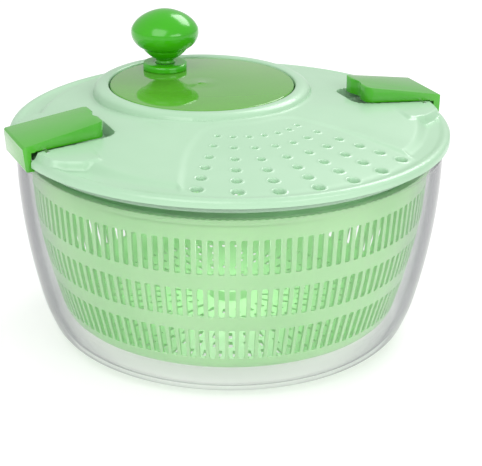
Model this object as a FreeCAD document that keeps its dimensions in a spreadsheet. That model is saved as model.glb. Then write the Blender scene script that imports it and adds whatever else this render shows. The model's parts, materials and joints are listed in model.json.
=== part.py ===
import FreeCAD, Part
import Sketcher
import math
import os
from FreeCAD import Vector, Placement, Rotation

# Crank-driven salad spinner: clear bowl, slotted basket, lid with an offset
# crank disc.  Frame: origin at the centre of the bowl's base, +Z up, the two
# rim latches on +X and -X, the pouring holes of the lid towards -Y and the
# crank disc set off towards +Y.  Lengths are in millimetres.

doc = FreeCAD.newDocument("salad_spinner")
sheet = doc.addObject("Spreadsheet::Sheet", "Sheet")
ROW = [1]


class Dim:
    """A number together with the spreadsheet expression that gives it."""

    def __init__(self, value, text):
        self.v = float(value)
        self.t = text

    @staticmethod
    def of(x):
        return x if isinstance(x, Dim) else Dim(x, "(%.6f)" % x)

    def __add__(self, o):
        o = Dim.of(o)
        return Dim(self.v + o.v, "(%s + %s)" % (self.t, o.t))

    def __radd__(self, o):
        return Dim.of(o) + self

    def __sub__(self, o):
        o = Dim.of(o)
        return Dim(self.v - o.v, "(%s - %s)" % (self.t, o.t))

    def __rsub__(self, o):
        return Dim.of(o) - self

    def __mul__(self, o):
        o = Dim.of(o)
        return Dim(self.v * o.v, "(%s * %s)" % (self.t, o.t))

    def __rmul__(self, o):
        return Dim.of(o) * self

    def __truediv__(self, o):
        o = Dim.of(o)
        return Dim(self.v / o.v, "(%s / %s)" % (self.t, o.t))

    def __neg__(self):
        return Dim(-self.v, "(-1 * %s)" % self.t)


def cell(alias, value):
    """Put a driving dimension in the sheet and return it."""
    r = ROW[0]
    ROW[0] += 1
    sheet.set("A%d" % r, alias.replace("_", " "))
    sheet.set("B%d" % r, "%.6g" % value)
    sheet.setAlias("B%d" % r, alias)
    return Dim(float("%.6g" % value), "Sheet.%s" % alias)


# ---- driving dimensions -------------------------------------------------
joint = cell("joint_height", 115.5)          # reference plane at the bowl's rim
lid_rim_r = cell("lid_rim_radius", 122.0)
lid_thick = cell("lid_wall", 2.2)
lid_apex = cell("lid_apex_rise", 15.9)       # plateau height at the axis above the joint
plateau_fall = cell("plateau_fall", 0.06)    # drop per millimetre of radius
fan_fall = cell("fan_fall", 0.099)
plateau_r = cell("plateau_radius", 106.0)
moat_rise = cell("moat_rise", 4.5)
fan_in_r = cell("fan_inner_radius", 27.5)
fan_half = cell("fan_half_angle", 45.0)
pad_half = cell("pad_half_angle", 18.5)
bowl_wall = cell("bowl_wall", 2.4)
flange_r = cell("flange_radius", 120.9)
gasket_in = cell("gasket_inner_radius", 117.6)
gasket_out = cell("gasket_outer_radius", 119.0)
gasket_low = cell("gasket_bottom", -0.4)
gasket_top = cell("gasket_top", 0.6)
gear_module = cell("gear_module", 1.25)
ring_teeth = cell("ring_teeth", 80)
pinion_teeth = cell("pinion_teeth", 15)
disc_off = cell("disc_offset", 40.625)       # (80 - 15) / 2 x 1.25
disc_r = cell("disc_radius", 52.9)
disc_top = cell("disc_top_rise", 16.3)
disc_thick = cell("disc_wall", 2.2)
well_r = cell("well_radius", 53.8)
collar_r = cell("collar_radius", 62.0)
collar_top = cell("collar_top_rise", 16.9)
knob_x = cell("knob_centre_x", -8.6)
knob_y = cell("knob_centre_y", 77.2)
knob_r = cell("knob_radius", 20.0)
knob_collar_r = cell("knob_collar_radius", 13.6)
knob_flat = cell("knob_collar_half_flats", 12.7)
knob_collar_rise = cell("knob_collar_height", 3.9)
tray_top = cell("tray_top_rise", 6.0)
tray_wall = cell("tray_wall", 2.2)
tray_r = cell("tray_radius", 61.2)
screw_circle = cell("tray_screw_circle", 58.0)
axle_r = cell("crank_axle_radius", 5.0)
shaft_r = cell("drive_shaft_radius", 4.0)
bush_r = cell("bush_radius", 6.0)
run_gap = cell("running_clearance", 0.06)
plate_r = cell("drive_plate_radius", 107.4)
plate_z = cell("drive_plate_rise", -14.0)
plate_wall = cell("drive_plate_wall", 2.4)
basket_top = cell("basket_top_rise", -8.5)
basket_floor = cell("basket_floor_rise", -102.7)
basket_wall = cell("basket_wall", 1.8)
slot_count = cell("slot_count", 120)
slot_width = cell("slot_width", 3.3)
tier_a_top = cell("tier_a_top", -20.8)
tier_a_low = cell("tier_a_bottom", -40.6)
tier_b_top = cell("tier_b_top", -49.3)
tier_b_low = cell("tier_b_bottom", -66.7)
tier_c_top = cell("tier_c_top", -74.9)
tier_c_low = cell("tier_c_bottom", -93.6)
latch_in = cell("latch_inner_x", 78.3)
latch_out = cell("latch_outer_x", 124.4)
latch_in_w = cell("latch_inner_half_width", 14.4)
latch_out_w = cell("latch_outer_half_width", 18.2)
latch_in_z = cell("latch_inner_top_rise", 19.8)
latch_out_z = cell("latch_outer_top_rise", 11.7)
pivot_x = cell("latch_pivot_x", 112.0)
pivot_z = cell("latch_pivot_rise", 8.0)
pin_r = cell("latch_pin_radius", 1.5)
pin_half = cell("latch_pin_half_length", 22.0)
doc.recompute()


def up(d):
    """Height above the base of something given above the joint plane."""
    return joint + d


# ---- helpers ------------------------------------------------------------
def role(body, name):
    for f in body.Origin.OriginFeatures:
        if f.Role == name:
            return f


def new_body(label):
    b = doc.addObject("PartDesign::Body", label)
    b.Label = label
    return b


def sketch(body, plane, name):
    s = body.newObject("Sketcher::SketchObject", name)
    s.AttachmentSupport = [(role(body, plane), "")]
    s.MapMode = "FlatFace"
    return s


def pin_point(s, g, pos, x, y):
    for kind, d in (("DistanceX", x), ("DistanceY", y)):
        d = Dim.of(d)
        if abs(d.v) < 1e-9:
            s.addConstraint(Sketcher.Constraint("PointOnObject", g, pos, -2 if kind == "DistanceX" else -1))
        else:
            i = s.addConstraint(Sketcher.Constraint(kind, g, pos, d.v))
            if d.t.find("Sheet") >= 0:
                s.setExpression("Constraints[%d]" % i, d.t)


def outline(s, pts):
    """Closed outline.  Each entry is (x, y) or (x, y, mx, my), where the
    second form bends the edge that starts there through a middle point."""
    n = len(pts)
    ids = []
    for i in range(n):
        a, b = pts[i], pts[(i + 1) % n]
        pa = Vector(Dim.of(a[0]).v, Dim.of(a[1]).v, 0)
        pb = Vector(Dim.of(b[0]).v, Dim.of(b[1]).v, 0)
        if len(a) == 4:
            pm = Vector(Dim.of(a[2]).v, Dim.of(a[3]).v, 0)
            left = (pm - pa).cross(pb - pm).z > 0
            arc = Part.Arc(pa, pm, pb) if left else Part.Arc(pb, pm, pa)
            g = s.addGeometry(arc, False)
            if s.Geometry[g].Radius * 2 - (pb - pa).Length > 1e-4:
                s.addConstraint(Sketcher.Constraint("Radius", g, s.Geometry[g].Radius))
            ids.append((g, left, True))
        else:
            g = s.addGeometry(Part.LineSegment(pa, pb), False)
            ids.append((g, True, False))
    for i in range(n):
        g, fwd, _ = ids[i]
        h, hf, _ = ids[(i + 1) % n]
        s.addConstraint(Sketcher.Constraint("Coincident", g, 2 if fwd else 1, h, 1 if hf else 2))
    for i in range(n):
        g, fwd, _ = ids[i]
        pin_point(s, g, 1 if fwd else 2, pts[i][0], pts[i][1])


def circle(s, x, y, r):
    x, y, r = Dim.of(x), Dim.of(y), Dim.of(r)
    g = s.addGeometry(Part.Circle(Vector(x.v, y.v, 0), Vector(0, 0, 1), r.v), False)
    pin_point(s, g, 3, x, y)
    i = s.addConstraint(Sketcher.Constraint("Radius", g, r.v))
    if r.t.find("Sheet") >= 0:
        s.setExpression("Constraints[%d]" % i, r.t)
    return g


def lathe(body, pts, name="Turn", angle=None, groove=False, plane="XZ_Plane"):
    s = sketch(body, plane, body.Name + name + "Sketch")
    outline(s, pts)
    f = body.newObject("PartDesign::Groove" if groove else "PartDesign::Revolution", body.Name + name)
    f.Profile = s
    f.ReferenceAxis = (s, ["V_Axis"])
    if angle is None:
        f.Angle = 360.0
    else:
        f.Midplane = True
        a = Dim.of(angle)
        f.Angle = a.v
        if a.t.find("Sheet") >= 0:
            f.setExpression("Angle", a.t)
    body.Tip = f
    return f


def prism(body, pts, length, name="Pad", plane="XY_Plane", base=None, mid=False, cut=False, back=False):
    """Straight pad or pocket of an outline; base lifts the sketch off its plane."""
    s = sketch(body, plane, body.Name + name + "Sketch")
    if base is not None:
        base = Dim.of(base)
        s.AttachmentOffset = Placement(Vector(0, 0, base.v), Rotation())
        s.setExpression("AttachmentOffset.Base.z", base.t)
    if pts and isinstance(pts[0], str):
        for x, y, r in pts[1]:
            circle(s, x, y, r)
    else:
        outline(s, pts)
    f = body.newObject("PartDesign::Pocket" if cut else "PartDesign::Pad", body.Name + name)
    f.Profile = s
    length = Dim.of(length)
    f.Type = 0
    f.Length = length.v
    if length.t.find("Sheet") >= 0:
        f.setExpression("Length", length.t)
    f.Midplane = mid
    f.Reversed = back
    body.Tip = f
    return f


def place(obj, x=0, y=0, z=0, turn=None):
    x, y, z = Dim.of(x), Dim.of(y), Dim.of(z)
    r = Rotation(Vector(0, 0, 1), turn) if turn is not None else Rotation()
    obj.Placement = Placement(Vector(x.v, y.v, z.v), r)
    for k, d in (("x", x), ("y", y), ("z", z)):
        if d.t.find("Sheet") >= 0:
            obj.setExpression("Placement.Base." + k, d.t)


def rod(name, r, length, x=0, y=0, z=0):
    c = doc.addObject("Part::Cylinder", name)
    r, length = Dim.of(r), Dim.of(length)
    c.Radius, c.Height = r.v, length.v
    if r.t.find("Sheet") >= 0:
        c.setExpression("Radius", r.t)
    if length.t.find("Sheet") >= 0:
        c.setExpression("Height", length.t)
    place(c, x, y, z)
    return c


def block(name, lx, ly, lz, x, y, z):
    b = doc.addObject("Part::Box", name)
    for k, d in (("Length", lx), ("Width", ly), ("Height", lz)):
        d = Dim.of(d)
        setattr(b, k, d.v)
        if d.t.find("Sheet") >= 0:
            b.setExpression(k, d.t)
    place(b, x, y, z)
    return b


def fuse(name, shapes):
    f = doc.addObject("Part::MultiFuse", name)
    f.Shapes = shapes
    f.Refine = True
    return f


def cut(name, base, tool):
    c = doc.addObject("Part::Cut", name)
    c.Base, c.Tool = base, tool
    c.Refine = True
    return c


PARTS = []


def keep(obj, label):
    obj.Label = label
    PARTS.append(obj)
    return obj


# ---- bowl ---------------------------------------------------------------
# Clear bowl: flat base, large corner, sides that open slowly to a rim bead
# and a narrow flange.  A centre stud carries the basket.
w = bowl_wall
bowl = new_body("bowl")
lathe(bowl, [
    (0, 0),
    (86.0, 0, 95.1, 2.53),
    (101.6, 9.4, 104.46, 16.21),
    (106.89, 23.11, 113.73, 54.05),
    (117.7, up(-30.0), 118.36, up(-17.7)),
    (118.4, up(-5.4)),
    (119.3, up(-5.0)),
    (119.3, up(-3.6)),
    (118.5, up(-3.2)),
    (118.5, up(gasket_low)),
    (gasket_in, up(gasket_low)),
    (gasket_in, up(gasket_top)),
    (flange_r, up(1.3)),
    (flange_r, up(2.0)),
    (flange_r - 0.4, up(2.3)),
    (116.1, up(2.3)),
    (116.0, up(-5.4), 115.96, up(-17.7)),
    (115.3, up(-29.8), 111.37, 54.46),
    (104.57, 23.73, 102.22, 17.07),
    (99.48, 10.53, 93.88, 4.59),
    (86.0, w),
    (7.0, w),
    (5.4, w + 6.6),
    (4.6, w + 9.2),
    (2.8, w + 10.8),
    (0, w + 11.3),
])
keep(bowl, "bowl")

# ---- basket -------------------------------------------------------------
basket = new_body("basket_shell")
bw = basket_wall
lathe(basket, [
    (9.0, up(basket_floor) + 1.2),
    (70.0, up(basket_floor)),
    (84.5, up(basket_floor), 92.3, up(basket_floor) + 2.2),
    (96.2, up(basket_floor) + 8.6),
    (101.7, up(-75.0)),
    (105.9, up(-57.0)),
    (108.9, up(-40.6)),
    (110.4, up(-21.0)),
    (111.0, up(-12.2)),
    (113.0, up(-11.6)),
    (113.2, up(basket_top) - 0.3),
    (112.8, up(basket_top)),
    (109.6, up(basket_top)),
    (109.2, up(-12.2)),
    (108.6, up(-21.0)),
    (107.1, up(-40.6)),
    (104.1, up(-57.0)),
    (99.9, up(-75.0)),
    (94.5, up(basket_floor) + 8.9, 91.1, up(basket_floor) + 3.7),
    (84.0, up(basket_floor) + 1.8),
    (70.0, up(basket_floor) + 1.8),
    (11.4, up(basket_floor) + 3.2),
    (9.2, up(basket_floor) + 7.9),
    (6.5, up(basket_floor) + 9.5),
    (0, up(basket_floor) + 9.9),
    (0, up(basket_floor) + 7.5),
    (5.0, up(basket_floor) + 7.2),
    (7.2, up(basket_floor) + 5.6),
])
# twelve short ribs inside the rim, which the drive plate's notches take
f = prism(basket, [(104.6, -1.2), (109.0, -1.2), (109.0, 1.2), (104.6, 1.2)], 6.0, "Rib", base=up(-17.4))
pp = basket.newObject("PartDesign::PolarPattern", "RibRing")
pp.Originals = [f]
pp.Axis = (f.Profile[0], ["N_Axis"])
pp.Angle = 360.0
pp.Occurrences = 12
basket.Tip = pp
doc.recompute()


def slots(r_in, r_out, width, z_low, z_high, count, first=0.0, pitch=None):
    """Plain slot cutters at r_in..r_out, one every pitch degrees."""
    tools = []
    pitch = 360.0 / count if pitch is None else pitch
    for k in range(int(round(count))):
        t = Part.makeBox(r_out - r_in, width, z_high - z_low, Vector(r_in, -width / 2, z_low))
        t.rotate(Vector(0, 0, 0), Vector(0, 0, 1), first + k * pitch)
        tools.append(t)
    return tools


# Three tiers of tall slots go through the wall all round.  One twelfth of the
# shell is slotted, and its faces are repeated round the axis and sewn.
pitch = 360.0 / slot_count.v
per_sector = int(round(slot_count.v / 12))
sector = basket.Shape.common(Part.makeCylinder(130, 140, Vector(0, 0, -5), Vector(0, 0, 1), 30.0).rotate(Vector(0, 0, 0), Vector(0, 0, 1), -15.0))
tools = []
for low, high, r_in, r_out in (
        (tier_a_low, tier_a_top, 104.0, 114.0),
        (tier_b_low, tier_b_top, 98.0, 110.0),
        (tier_c_low, tier_c_top, 91.0, 104.0)):
    tools += slots(r_in, r_out, slot_width.v, up(low).v, up(high).v, per_sector, -15.0 + pitch / 2, pitch)
sector = sector.cut(tools)
faces = []
for f in sector.Faces:
    c = f.CenterOfMass
    if f.Surface.TypeId == "Part::GeomPlane" and abs(abs(math.degrees(math.atan2(c.y, c.x))) - 15.0) < 1e-3:
        continue
    faces.append(f)
skin = []
for k in range(12):
    for f in faces:
        g = f.copy()
        g.rotate(Vector(0, 0, 0), Vector(0, 0, 1), 30.0 * k)
        skin.append(g)
skin = Part.makeCompound(skin)
skin.sewShape(1e-4)
wall = Part.makeSolid(skin.Shells[0])
# floor: staggered rings of short radial slots
FLOOR = ((19.0, 25.0, 18), (29.0, 35.5, 24), (39.5, 46.5, 36), (50.5, 57.5, 40), (61.5, 68.5, 48), (72.5, 79.5, 60))
tools = []
z = up(basket_floor).v
for k, (ra, rb, n) in enumerate(FLOOR):
    tools += slots(ra, rb, 2.2, z - 2, z + 6, n, (k % 2) * 180.0 / n)
slotted = doc.addObject("Part::Feature", "basket_slotted")
slotted.Shape = wall.cut(tools)
keep(slotted, "basket")


# ---- rim gasket ---------------------------------------------------------
gasket = new_body("rim_gasket")
lathe(gasket, [
    (gasket_in, up(gasket_low)),
    (gasket_out, up(gasket_low)),
    (gasket_out, up(gasket_top)),
    (gasket_in, up(gasket_top)),
])
keep(gasket, "rim_gasket")


# ---- lid shell ----------------------------------------------------------
def plateau(r, below=0.0):
    return up(lid_apex - plateau_fall * r - below)


def fan(r, below=0.0):
    return up(lid_apex - fan_fall * r - below)


lid = new_body("lid_main")
lathe(lid, [
    (0, plateau(Dim.of(0), lid_thick)),
    (105.0, plateau(Dim.of(105.0), lid_thick)),
    (107.6, up(2.3)),
    (113.4, up(2.3)),
    (113.4, up(-4.0)),
    (115.3, up(-4.0)),
    (115.6, up(2.6)),
    (lid_rim_r - 0.3, up(2.6)),
    (lid_rim_r, up(2.9)),
    (lid_rim_r, up(3.4), 121.75, up(4.4)),
    (120.9, up(5.0), 119.4, up(5.3)),
    (117.9, up(4.9)),
    (116.6, up(moat_rise)),
    (108.8, up(moat_rise)),
    (plateau_r, plateau(plateau_r)),
    (0, up(lid_apex)),
])
fill = new_body("fan_fill")
lathe(fill, [
    (25.5, fan(Dim.of(25.5), lid_thick)),
    (plateau_r, fan(plateau_r, lid_thick)),
    (114.0, up(2.3)),
    (114.0, up(moat_rise)),
    (112.0, fan(Dim.of(112.0))),
    (plateau_r, fan(plateau_r)),
    (plateau_r - 0.6, plateau(plateau_r) - 0.2),
    (25.5, plateau(Dim.of(25.5))),
], angle=fan_half * 2 + 5.0)
fill.Placement = Placement(Vector(0, 0, 0), Rotation(Vector(0, 0, 1), -90))
dish = new_body("fan_dish")
lathe(dish, [
    (fan_in_r, fan(fan_in_r)),
    (113.0, fan(Dim.of(113.0))),
    (113.0, up(22.0)),
    (fan_in_r, up(22.0)),
], angle=fan_half * 2)
dish.Placement = Placement(Vector(0, 0, 0), Rotation(Vector(0, 0, 1), -90))

# pads under the latches run the plateau out to the rim
pads = []
for k, turn in enumerate((0, 180)):
    p = new_body("pad%d" % k)
    lathe(p, [
        (103.6, up(3.0)),
        (113.4, up(2.3)),
        (115.6, up(2.6)),
        (119.8, up(2.6)),
        (119.8, plateau(Dim.of(119.8))),
        (103.6, plateau(Dim.of(103.6))),
    ], angle=pad_half * 2)
    p.Placement = Placement(Vector(0, 0, 0), Rotation(Vector(0, 0, 1), turn))
    pads.append(p)
    tub = new_body("tub%d" % k)
    prism(tub, [(68.9, -16.6), (106.0, -19.0), (106.0, 19.0), (68.9, 16.6)], 5.6, "Pad", base=up(2.3))
    tub.Placement = Placement(Vector(0, 0, 0), Rotation(Vector(0, 0, 1), turn))
    pads.append(tub)

# well collar and wall round the crank disc
collar = new_body("collar")
lathe(collar, [
    (well_r, up(tray_top)),
    (56.0, up(tray_top)),
    (56.0, up(13.9)),
    (collar_r - 1.8, up(12.6)),
    (collar_r - 1.8, up(7.5)),
    (collar_r + 0.2, up(7.5)),
    (collar_r + 0.2, up(13.4), 61.5, up(15.3)),
    (59.4, up(16.4), 57.4, up(16.85)),
    (55.4, up(collar_top)),
    (54.3, up(collar_top) - 0.2),
    (well_r, up(collar_top) - 0.8),
])
place(collar, 0, disc_off, 0)
bosses = []
pilots = []
for k in range(6):
    a = math.radians(30.0 + 60.0 * k)
    cx, cy = screw_circle * math.cos(a), disc_off + screw_circle * math.sin(a)
    bosses.append(rod("ScrewBoss%d" % k, 2.9, 8.2, cx, cy, up(tray_top)))
    pilots.append(rod("ScrewPilot%d" % k, 1.25, 6.2, cx, cy, up(tray_top) - 0.2))
well_hole = rod("WellHole", collar_r - 1.0, 30.0, 0, disc_off, up(0.0))
well_bore = rod("WellBore", well_r, 30.0, 0, disc_off, up(0.0))

# the pocket each latch sits in, and the notch in the rim its hook passes
troughs = []
for k, turn in enumerate((0, 180)):
    t = new_body("trough%d" % k)
    prism(t, [
        (76.0, -14.5),
        (82.0, -15.4),
        (117.5, -18.7),
        (130.0, -18.9),
        (130.0, 18.9),
        (117.5, 18.7),
        (82.0, 15.4),
        (76.0, 14.5, 72.5, 12.9),
        (71.0, 9.0),
        (71.0, -9.0, 72.5, -12.9),
    ], 20.0, "Pad", base=up(4.5))
    t.Placement = Placement(Vector(0, 0, 0), Rotation(Vector(0, 0, 1), turn))
    n = new_body("notch%d" % k)
    prism(n, [(117.5, -18.8), (130.0, -18.8), (130.0, 18.8), (117.5, 18.8)], 30.0, "Pad", base=up(-8.0))
    n.Placement = Placement(Vector(0, 0, 0), Rotation(Vector(0, 0, 1), turn))
    h = doc.addObject("Part::Cylinder", "PinBore%d" % k)
    h.Radius = pin_r.v
    h.setExpression("Radius", pin_r.t)
    h.Height = 2 * pin_half.v
    h.setExpression("Height", (pin_half * 2).t)
    h.Placement = Placement(Vector((pivot_x.v if turn == 0 else -pivot_x.v), pin_half.v, up(pivot_z).v), Rotation(Vector(1, 0, 0), 90))
    troughs += [t, n, h]

# pouring holes: seven columns by six rows, larger and further apart outwards
ROWS = ((111.1, 0.026, 3.1), (99.0, 0.037, 2.6), (86.5, 0.04, 2.3), (73.5, 0.042, 1.95), (59.5, 0.05, 1.5), (45.3, 0.031, 1.2))
row_r = [cell("hole_row_%s" % "abcdef"[i], r[0]) for i, r in enumerate(ROWS)]
row_d = [cell("hole_size_%s" % "abcdef"[i], r[2]) for i, r in enumerate(ROWS)]
drain = new_body("drain_holes")
spots = []
for i, (r, bend, _) in enumerate(ROWS):
    for k in range(-3, 4):
        a = math.radians(-90.0 + 10.73 * k)
        q = row_r[i] * (1.0 - bend * (k / 3.0) ** 2)
        spots.append((q * math.cos(a), q * math.sin(a), row_d[i]))
prism(drain, ("holes", spots), 24.0, "Pad", base=up(0.0))

lid_body = fuse("lid_outer", [lid, fill])
lid_dished = cut("lid_dished", lid_body, dish)
lid_open = cut("lid_open", lid_dished, well_hole)
lid_all = fuse("lid_all", [lid_open] + pads + [collar] + bosses)
lid_tools = fuse("lid_tools", [well_bore] + troughs + pilots)
lid_cut = cut("lid_cut", lid_all, lid_tools)
lid_shell = cut("lid_shell", lid_cut, drain)
keep(lid_shell, "lid_shell")

# ---- gear tray, its screws and the drive bush --------------------------
tray = new_body("tray_plate")
lathe(tray, [
    (axle_r + run_gap, up(1.8)),
    (9.0, up(1.8)),
    (9.0, up(tray_top) - tray_wall),
    (tray_r, up(tray_top) - tray_wall),
    (tray_r, up(tray_top)),
    (9.0, up(tray_top)),
    (9.0, up(7.6)),
    (axle_r + run_gap, up(7.6)),
])
place(tray, 0, disc_off, 0)
tray_boss = rod("TrayBoss", 9.5, 5.6, 0, 0, up(1.8))
tray_bore = rod("TrayBore", bush_r, 12.0, 0, 0, up(0.0))
tray_holes = [rod("TrayHole%d" % k, 1.7, 4.0,
                  screw_circle * math.cos(math.radians(30.0 + 60.0 * k)),
                  disc_off + screw_circle * math.sin(math.radians(30.0 + 60.0 * k)),
                  up(tray_top) - 3.0) for k in range(6)]
keep(cut("gear_tray", fuse("tray_all", [tray, tray_boss]), fuse("tray_cuts", [tray_bore] + tray_holes)), "gear_tray")

screw = new_body("tray_screw")
zt = up(tray_top) - tray_wall
lathe(screw, [
    (0, zt - 1.2),
    (1.2, zt - 1.2),
    (1.4, zt - 2.0),
    (2.4, zt - 1.7),
    (3.0, zt - 0.8),
    (3.0, zt),
    (1.25, zt),
    (1.25, up(11.0)),
    (0, up(12.0)),
])
doc.recompute()
copies = []
for k in range(6):
    a = math.radians(30.0 + 60.0 * k)
    c = screw.Shape.copy()
    c.translate(Vector(screw_circle.v * math.cos(a), disc_off.v + screw_circle.v * math.sin(a), 0))
    copies.append(c)
tray_screws = doc.addObject("Part::Feature", "tray_screws")
tray_screws.Shape = Part.makeCompound(copies)
keep(tray_screws, "tray_screws")

bush = new_body("drive_bush")
lathe(bush, [
    (shaft_r + run_gap, up(1.4)),
    (bush_r, up(1.4)),
    (bush_r, up(7.4)),
    (8.4, up(7.4)),
    (8.4, up(8.2)),
    (shaft_r + run_gap, up(8.2)),
])
keep(bush, "drive_bush")

# ---- crank disc, ring gear, axle ----------------------------------------
disc = new_body("crank_disc")
zb = up(disc_top) - disc_thick
lathe(disc, [
    (0, up(12.2)),
    (axle_r, up(12.2)),
    (axle_r, up(8.0)),
    (9.0, up(8.0)),
    (9.4, zb),
    (disc_r - 0.3, zb),
    (disc_r, zb + 0.3),
    (disc_r, up(disc_top) - 0.8, disc_r - 0.25, up(disc_top) - 0.25),
    (disc_r - 0.8, up(disc_top)),
    (2.8, up(disc_top), 1.6, up(disc_top) + 0.2),
    (0.6, up(disc_top) + 0.33),
    (0, up(disc_top) + 0.33),
])
place(disc, 0, disc_off, 0)
keep(disc, "crank_disc")


def flank(base_r, r, half_at_base):
    """Angle of an involute flank at radius r, measured from the tooth centre."""
    if r <= base_r:
        return half_at_base
    a = math.acos(base_r / r)
    return half_at_base - (math.tan(a) - a)


def tooth_outline(teeth, module, root_r, tip_r, thickness, n=5):
    """Half-thickness angles of an external involute tooth from root to tip."""
    pitch_r = module * teeth / 2.0
    base_r = pitch_r * math.cos(math.radians(20.0))
    a = math.acos(base_r / pitch_r)
    half_pitch = thickness / (2.0 * pitch_r)
    half_base = half_pitch + math.tan(a) - a
    pts = []
    for i in range(n):
        r = root_r + (tip_r - root_r) * i / (n - 1.0)
        pts.append((r, max(flank(base_r, r, half_base), 0.004)))
    return pts


module_v = gear_module.v
backlash = 0.22
# pinion
teeth = int(round(pinion_teeth.v))
pr = module_v * teeth / 2.0
pinion_blank = rod("pinion_blank", gear_module * pinion_teeth / 2 + gear_module * 0.92, 5.0, 0, 0, up(8.5))
side = tooth_outline(teeth, module_v, pr - 1.25 * module_v, pr + 0.92 * module_v + 0.4, math.pi * module_v / 2 - backlash)
gaps = []
step = 2 * math.pi / teeth
for k in range(teeth):
    c = math.radians(-90.0) + k * step
    left = [(r, c + a) for r, a in side]
    right = [(r, c + step - a) for r, a in side]
    loop = left + right[::-1]
    pts = [Vector(r * math.cos(a), r * math.sin(a), up(8.5).v - 1) for r, a in loop]
    gaps.append(Part.Face(Part.makePolygon(pts + [pts[0]])).extrude(Vector(0, 0, 7)))
g = doc.addObject("Part::Feature", "pinion_gaps")
g.Shape = Part.makeCompound(gaps)
pinion = cut("pinion_toothed", pinion_blank, g)
keep(cut("drive_pinion", pinion, rod("pinion_bore", shaft_r, 8.0, 0, 0, up(7.5))), "drive_pinion")

# internal ring gear: the spaces between its teeth are external tooth shapes
teeth = int(round(ring_teeth.v))
rr = module_v * teeth / 2.0
side = tooth_outline(teeth, module_v, rr - module_v * 0.92 - 0.3, rr + 1.25 * module_v, math.pi * module_v / 2 + backlash)
step = 2 * math.pi / teeth
loop = []
# a space of the ring has to face each pinion tooth on the line of centres
for k in range(teeth):
    c = math.radians(-90.0) + k * step
    for r, a in side:
        loop.append((r, c - a))
    for r, a in side[::-1]:
        loop.append((r, c + a))
pts = [Vector(r * math.cos(a), disc_off.v + r * math.sin(a), up(8.9).v) for r, a in loop]
inner = Part.Face(Part.makePolygon(pts + [pts[0]])).extrude(Vector(0, 0, zb.v - up(8.9).v))
tip = Part.makeCylinder((rr - module_v * 0.92), zb.v - up(8.9).v, Vector(0, disc_off.v, up(8.9).v))
spaces = doc.addObject("Part::Feature", "ring_spaces")
spaces.Shape = inner.fuse(tip).removeSplitter()
ring_blank = rod("ring_blank", disc_r - 0.3, zb - up(8.9), 0, disc_off, up(8.9))
keep(cut("ring_gear", ring_blank, spaces), "ring_gear")

axle = new_body("crank_axle")
lathe(axle, [
    (0, up(8.6)),
    (1.5, up(8.0)),
    (1.5, up(1.4)),
    (axle_r, up(1.4)),
    (axle_r, up(11.6)),
    (axle_r - 0.6, up(12.2)),
    (0, up(12.2)),
])
place(axle, 0, disc_off, 0)
keep(axle, "crank_axle")
washer = new_body("crank_washer")
lathe(washer, [(1.6, up(0.2)), (8.6, up(0.2)), (8.6, up(1.4)), (1.6, up(1.4))])
place(washer, 0, disc_off, 0)
keep(washer, "crank_washer")
cs = new_body("crank_screw")
lathe(cs, [
    (0, up(-0.9)), (1.5, up(-0.9)), (1.8, up(-1.9)), (3.2, up(-1.6)), (4.1, up(-0.6)),
    (4.1, up(0.2)), (1.5, up(0.2)), (1.5, up(7.2)), (0, up(8.0)),
])
place(cs, 0, disc_off, 0)
keep(cs, "crank_screw")

# ---- knob ---------------------------------------------------------------
base = new_body("base_round")
kt = up(disc_top) + knob_collar_rise
lathe(base, [
    (0, up(disc_top)),
    (knob_collar_r - 0.4, up(disc_top)),
    (knob_collar_r, up(disc_top) + 0.4),
    (knob_collar_r, kt - 1.7, knob_collar_r - 0.5, kt - 0.5),
    (knob_collar_r - 1.7, kt),
    (0, kt),
])
flats = block("base_flats", knob_flat * 2, 40.0, 10.0, -knob_flat, -20.0, up(disc_top) - 1)
base_cut = doc.addObject("Part::Common", "base_flatted")
base_cut.Base, base_cut.Tool = base, flats
base_bore = rod("base_bore", 3.0, 4.0, 0, 0, up(disc_top) + 0.8)
knob_base = cut("knob_base", base_cut, base_bore)
place(knob_base, knob_x, knob_y, 0, turn=-23.5)
keep(knob_base, "knob_base")
spindle = new_body("knob_spindle")
lathe(spindle, [
    (0, up(disc_top) + 0.8),
    (3.0, up(disc_top) + 0.8),
    (3.0, up(43.8)),
    (4.8, up(43.8)),
    (4.8, up(44.8)),
    (3.6, up(45.8)),
    (0, up(46.1)),
])
place(spindle, knob_x, knob_y, 0)
keep(spindle, "knob_spindle")
kb = new_body("knob_body")
lathe(kb, [
    (3.0 + run_gap, up(20.5)),
    (6.0, up(20.5)),
    (5.4, up(21.4)),
    (5.5, up(22.3), 6.4, up(22.8)),
    (7.6, up(23.5), 10.4, up(25.6)),
    (12.7, up(27.9)),
    (12.9, up(28.7), 13.3, up(29.1)),
    (14.0, up(29.3), 18.1, up(32.9)),
    (19.9, up(38.0)),
    (17.6, up(38.0), 16.1, up(34.2)),
    (12.6, up(31.2)),
    (9.0, up(27.6)),
    (6.0, up(26.6)),
    (6.0, up(43.4)),
    (3.0 + run_gap, up(43.4)),
])
place(kb, knob_x, knob_y, 0)
keep(kb, "knob_body")
kc = new_body("knob_cap")
lathe(kc, [
    (17.6, up(38.0)),
    (19.9, up(38.0), 19.2, up(42.0)),
    (15.4, up(46.4), 8.9, up(50.3)),
    (1.0, up(51.8)),
    (0, up(51.8)),
    (0, up(49.6)),
    (1.0, up(49.6), 8.2, up(48.2)),
    (14.0, up(44.7), 16.9, up(41.6)),
])
place(kc, knob_x, knob_y, 0)
keep(kc, "knob_cap")

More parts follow.
